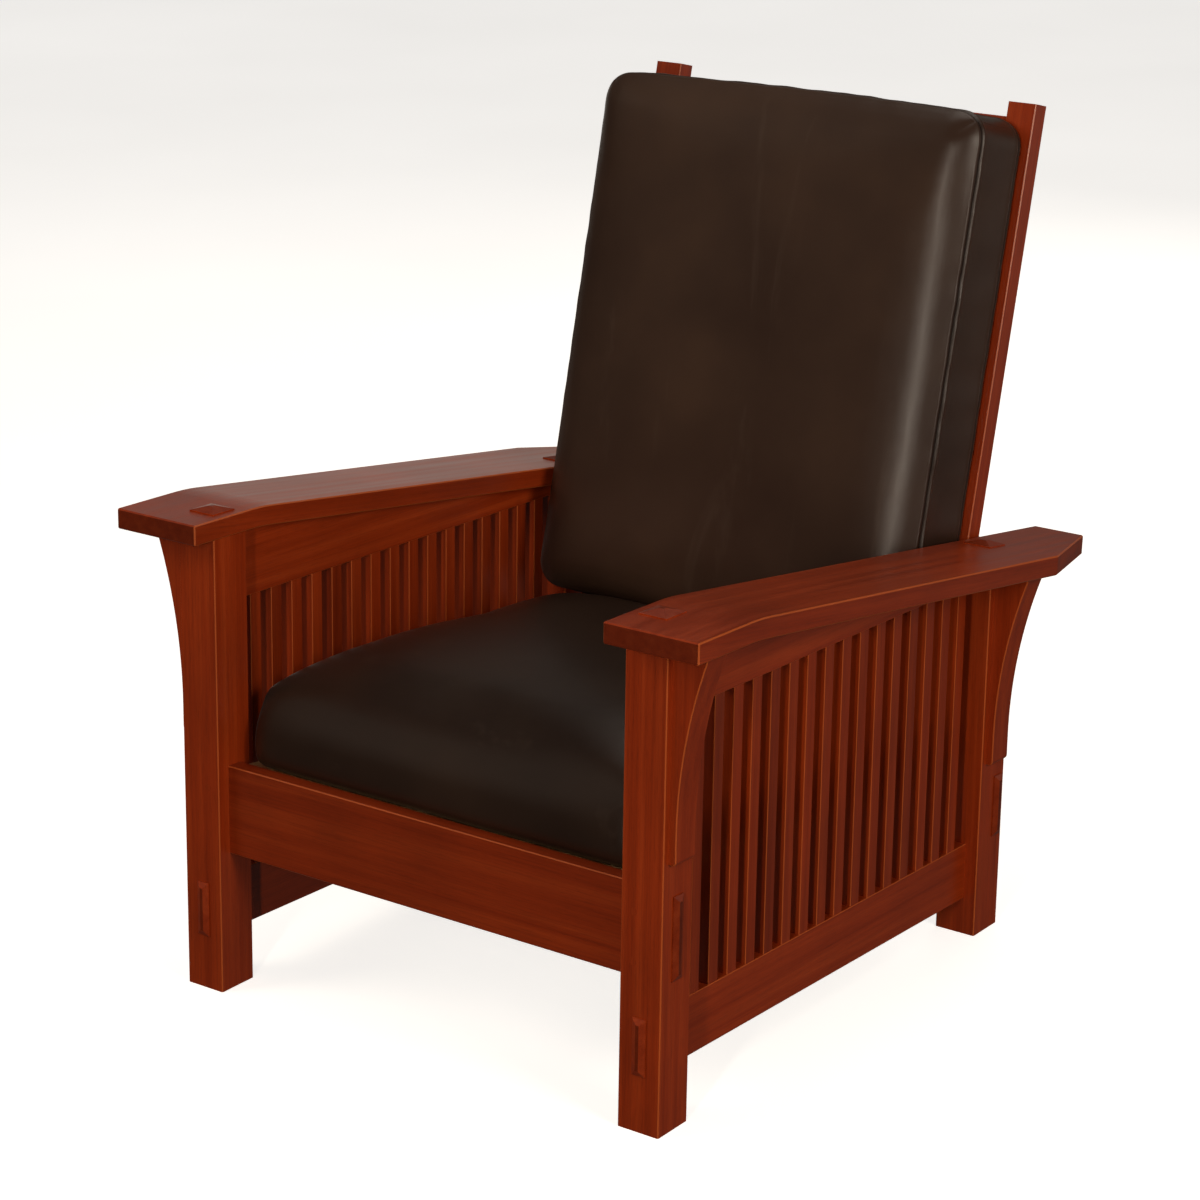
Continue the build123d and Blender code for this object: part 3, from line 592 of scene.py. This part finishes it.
def blow_up(block, cell, pressure, reach, belt, wall_share):
    """Swells the cover by a cloth simulation of a coarser copy, held at its underside."""
    last_step = 20
    rounds_of_evening = 14
    copied_from = 5
    closest = 0.002
    fade_height = 0.02
    trial = bpy.data.objects.new(block.name + "_trial", block.data.copy())
    scene.collection.objects.link(trial)
    skin = trial.modifiers.new("skin", "REMESH")
    skin.mode = "VOXEL"
    skin.voxel_size = cell
    plain_mesh(trial, trial.name)
    before = [v.co.copy() for v in trial.data.vertices]
    held = trial.vertex_groups.new(name="held")
    held.add([v.index for v in trial.data.vertices if v.co.z < cell], 1.0, "REPLACE")
    cover = trial.modifiers.new("cover", "CLOTH")
    cover.settings.vertex_group_mass = "held"
    cover.settings.quality = 4
    cover.settings.mass = 0.4
    cover.settings.tension_stiffness = 25
    cover.settings.compression_stiffness = 25
    cover.settings.shear_stiffness = 12
    cover.settings.bending_stiffness = 6
    cover.settings.use_pressure = True
    cover.settings.uniform_pressure_force = pressure
    cover.settings.effector_weights.gravity = 0
    cover.collision_settings.use_collision = False
    cover.point_cache.frame_start = 1
    cover.point_cache.frame_end = last_step
    for step in range(1, last_step + 1):
        scene.frame_set(step)
    plain_mesh(trial, trial.name)
    scene.frame_set(1)
    # Each vertex's move, capped, then evened out over its neighbours
    moves = []
    for vertex, start in zip(trial.data.vertices, before):
        move = vertex.co - start
        moves.append(move * min(1.0, reach / max(move.length, 1e-9)))
    neighbours = [[] for _ in moves]
    for edge in trial.data.edges:
        first, second = edge.vertices
        neighbours[first].append(second)
        neighbours[second].append(first)
    for _ in range(rounds_of_evening):
        moves = [(moves[i] + sum((moves[j] for j in near), Vector())) / (len(near) + 1)
                 for i, near in enumerate(neighbours)]
    # The finer cover takes its moves from the coarse vertices next to it
    tree = kdtree.KDTree(len(before))
    for i, start in enumerate(before):
        tree.insert(start, i)
    tree.balance()
    for vertex in block.data.vertices:
        swell = Vector()
        weights = 0.0
        for _, i, distance in tree.find_n(vertex.co, copied_from):
            weight = 1 / (distance + closest)
            swell += moves[i] * weight
            weights += weight
        height = max(0.0, min(1.0, (vertex.co.z - belt) / fade_height))
        vertex.co += swell / weights * (wall_share + (1 - wall_share) * height)
    block.data.update()
    bpy.data.objects.remove(trial)


def finish_cushion(block, turn, place, room, seams, pucker):
    """Sets seams and puckers into the cover and lays it in place. Its room is the half width,
    the half length, and the lowest and highest level that it may reach."""
    wall_sharpness = 1.5
    groove_depth, groove_width = 0.0036, 0.0021
    ridge_height, ridge_width, ridge_offset = 0.0010, 0.0026, 0.0055
    gathers_per_metre, gathers_up, gather_fade = 40.0, 50.0, 0.020
    fold_height, folds_per_metre, folds_up = 0.0015, 21.0, 8.0
    swell_height, swells_across, swells_along, swells_up = 0.0009, 7.0, 2.2, 5.0
    fold_start, swell_start = 7.0, 3.0
    finer = block.modifiers.new("finer", "SUBSURF")
    finer.levels = finer.render_levels = 1
    plain_mesh(block, block.name)
    mesh = block.data
    half_width, half_length, low, high = room
    normals = [v.normal.copy() for v in mesh.vertices]
    # The groove's share is kept on the cover as a mark for painted shade in the seam
    seam_shade_mark = mesh.attributes.new("seam", "FLOAT", "POINT")
    for vertex, normal in zip(mesh.vertices, normals):
        spot = vertex.co
        outward = math.hypot(normal.x, normal.y)
        on_wall = min(1.0, outward * wall_sharpness)
        mark = 0.0
        for level in seams:
            # A groove between two ridges, with gathers that fade away from it
            distance = spot.z - level
            groove = math.exp(-(distance / groove_width) ** 2) * on_wall
            ridge = math.exp(-((abs(distance) - ridge_offset) / ridge_width) ** 2) * on_wall
            mark = max(mark, groove)
            run = spot.x if abs(normal.y) > abs(normal.x) else spot.y
            gathered = noise.noise(Vector((run * gathers_per_metre, level * gathers_up, outward)))
            fade = math.exp(-abs(distance) / gather_fade) * outward
            sunk = groove_depth * groove - ridge_height * ridge
            spot -= normal * sunk - normal * (pucker * gathered * fade)
        if seams and spot.z < max(seams):
            # Soft folds run across the boxing
            run = spot.x if abs(normal.y) > abs(normal.x) else spot.y
            fold = noise.noise(Vector((run * folds_per_metre, spot.z * folds_up, fold_start)))
            spot += normal * (fold_height * fold * outward ** 4)
        swell = noise.noise(Vector((spot.x * swells_across, spot.y * swells_along,
                                    spot.z * swells_up + swell_start)))
        spot += normal * (swell_height * swell)
        spot.x = max(-half_width, min(half_width, spot.x))
        spot.y = max(-half_length, min(half_length, spot.y))
        spot.z = max(low, min(high, spot.z))
        vertex.co = spot
        seam_shade_mark.data[vertex.index].value = mark
    mesh.transform(Matrix.Translation(place) @ Matrix.Rotation(turn, 4, "X"))
    mesh.update()
    mesh.shade_smooth()


def brown_cowhide(name, pull_scale, tone):
    """Cowhide, tanned, embossed and pigmented brown: a satin film over fine grain, rubbed a
    little paler along the pulls where it is drawn tight, and painted shade, near black, in the depth of a
    seam."""
    material, tree = new_material(name)
    place = add_node(tree, "ShaderNodeTexCoord").outputs["Object"]
    # Clouds of tone 200 mm wide
    cloud = add_node(tree, "ShaderNodeTexNoise",
                     {"Vector": place, "Scale": per_metre(1, 200), "Detail": 4.0}).outputs["Fac"]
    pigment = add_node(tree, "ShaderNodeValToRGB", {"Fac": cloud},
                       [(0.3, "#33221a"), (0.55, "#3c2a20"), (0.75, "#453125")]).outputs["Color"]
    hide = add_node(tree, "ShaderNodeMix",
                    {SHARE: 1.0, FIRST: pigment, SECOND: (tone, tone, tone, 1.0)},
                    data_type="RGBA", blend_type="MULTIPLY").outputs[MIXED]
    drawn = add_node(tree, "ShaderNodeMapping", {"Vector": place, "Scale": pull_scale}).outputs[0]
    pulls = add_node(tree, "ShaderNodeTexNoise",
                     {"Vector": drawn, "Scale": 1.0, "Detail": 5.0, "Roughness": 0.7,
                      "Distortion": 0.8}).outputs["Fac"]
    pale = add_node(tree, "ShaderNodeValToRGB", {"Fac": pulls},
                    [(0.60, 0.0), (0.76, 0.17)]).outputs["Color"]
    rubbed = add_node(tree, "ShaderNodeMix", {SHARE: pale, FIRST: hide, SECOND: "#6b5a50"},
                      data_type="RGBA").outputs[MIXED]
    # Painted shade: the seam's groove, as marked on the cover, is coloured near black
    seam = add_node(tree, "ShaderNodeAttribute", attribute_name="seam").outputs["Fac"]
    seam_painted_shade = add_node(tree, "ShaderNodeMix", {SHARE: seam, FIRST: rubbed, SECOND: "#120a07"},
                    data_type="RGBA").outputs[MIXED]
    # Grain cells 1.2 mm across
    cells = add_node(tree, "ShaderNodeTexVoronoi", {"Vector": place, "Scale": per_metre(83, 100)},
                     feature="DISTANCE_TO_EDGE").outputs["Distance"]
    creases = add_node(tree, "ShaderNodeValToRGB", {"Fac": cells},
                       [(0.0, 0.0), (0.12, 1.0)]).outputs["Color"]
    grain = add_node(tree, "ShaderNodeBump",
                     {"Height": creases, "Strength": 0.16, "Distance": 0.0003}).outputs[0]
    folds = add_node(tree, "ShaderNodeBump",
                     {"Height": pulls, "Normal": grain, "Strength": 0.15, "Distance": 0.0010}).outputs[0]
    film = add_node(tree, "ShaderNodeValToRGB", {"Fac": cloud},
                    [(0.3, 0.30), (0.7, 0.37)]).outputs["Color"]
    leather = add_node(tree, "ShaderNodeBsdfPrincipled",
                       {"Base Color": seam_painted_shade, "Roughness": film, "Normal": folds, "IOR": 1.45,
                        "Coat Weight": 0.05, "Coat Roughness": 0.25})
    add_node(tree, "ShaderNodeOutputMaterial", {"Surface": leather.outputs[0]})
    return material


seat_half = (seat_half_width - slack, seat_half_length - slack, seat_belt - slack)
seat = cushion_block("seat_cushion_cover", seat_half, seat_walls, seat_crown,
                     plan_round=0.03, base_round=0.012, cells=60, levels=12)
blow_up(seat, cell=0.008, pressure=3.0, reach=0.010, belt=0.06, wall_share=0.3)
# A remesh and a smoothing turn walls and top into one rounded skin
skin = seat.modifiers.new("skin", "REMESH")
skin.mode = "VOXEL"
skin.voxel_size = seat_cell
ease = seat.modifiers.new("ease", "SMOOTH")
ease.factor = 0.5
ease.iterations = 8
plain_mesh(seat, seat.name)
finish_cushion(seat, -deck_tilt, seat_place, seat_room, seams=[], pucker=0.0)
# Pulls run from front to rear, 110 mm apart and 330 mm long
seat_pulls = (per_metre(9, 1000), per_metre(3, 1000), per_metre(9, 1000))
# Painted shade: the seat's cover is the back's cowhide made about half as bright
seat_painted_shade = 0.52
seat.data.materials.append(brown_cowhide("seat_brown_cowhide", seat_pulls, seat_painted_shade))
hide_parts("seat_cushion")
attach(seat, "frame")


# Back cushion: a flatter box in the same cowhide, which rests on the posts and rungs. Its
# cover is sewn inside out, so a plain seam sits in a groove between the front panel and the
# boxing, and the leather gathers beside it.
back_half_width = 0.288
back_half_length = 0.347
back_belt = 0.106
back_roll_reach = 0.045
back_roll_power = 2.1
back_roll_rise = 0.024
back_dome_rise = 0.007
back_seam = 0.103
foot_seam = 0.01
top_bow = 0.0045
back_place = Vector((-0.003, 0.35989, 0.68359))
back_room = (0.291, 0.3525, 0.0, 0.142)


def back_crown(x, y):
    """Swell of the back's front panel: a quick roll beside the seam, then nearly flat."""
    flanks = roll(back_half_width - abs(x), back_roll_reach, back_roll_power)
    ends = roll(back_half_length - abs(y), back_roll_reach, back_roll_power)
    dome = (1 - (x / back_half_width) ** 2) * (1 - (y / back_half_length) ** 2)
    return back_roll_rise * meet(flanks, ends) + back_dome_rise * dome


def back_walls(rise):
    """The boxing hollows by 3 mm between its two seams."""
    hollow = 0.003
    return hollow * math.sin(math.pi * rise)


# The back swells less than the seat, so it gives up only a third of the slack
back_half = (back_half_width - slack / 3, back_half_length - slack / 3, back_belt - slack / 3)
back = cushion_block("back_cushion_cover", back_half, back_walls, back_crown,
                     plan_round=0.036, base_round=0.012, cells=64, levels=30)
# The stuffing bows the top end up a little in the middle
for vertex in back.data.vertices:
    if vertex.co.y > 0:
        across_share, up_share = vertex.co.x / back_half_width, vertex.co.y / back_half_length
        vertex.co.y += top_bow * (1 - across_share ** 2) * up_share ** 8
blow_up(back, cell=0.008, pressure=3.0, reach=0.006, belt=0.1, wall_share=0.0)
finish_cushion(back, math.radians(90) - back_tilt, back_place, back_room,
               seams=[back_seam, foot_seam], pucker=0.001)
# Pulls run up the back, 70 mm apart and 700 mm long
back_pulls = (per_metre(14, 1000), per_metre(5, 1000), per_metre(14, 10000))
back_tone = 1.0
back.data.materials.append(brown_cowhide("back_brown_cowhide", back_pulls, back_tone))
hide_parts("back_cushion")
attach(back, "back")
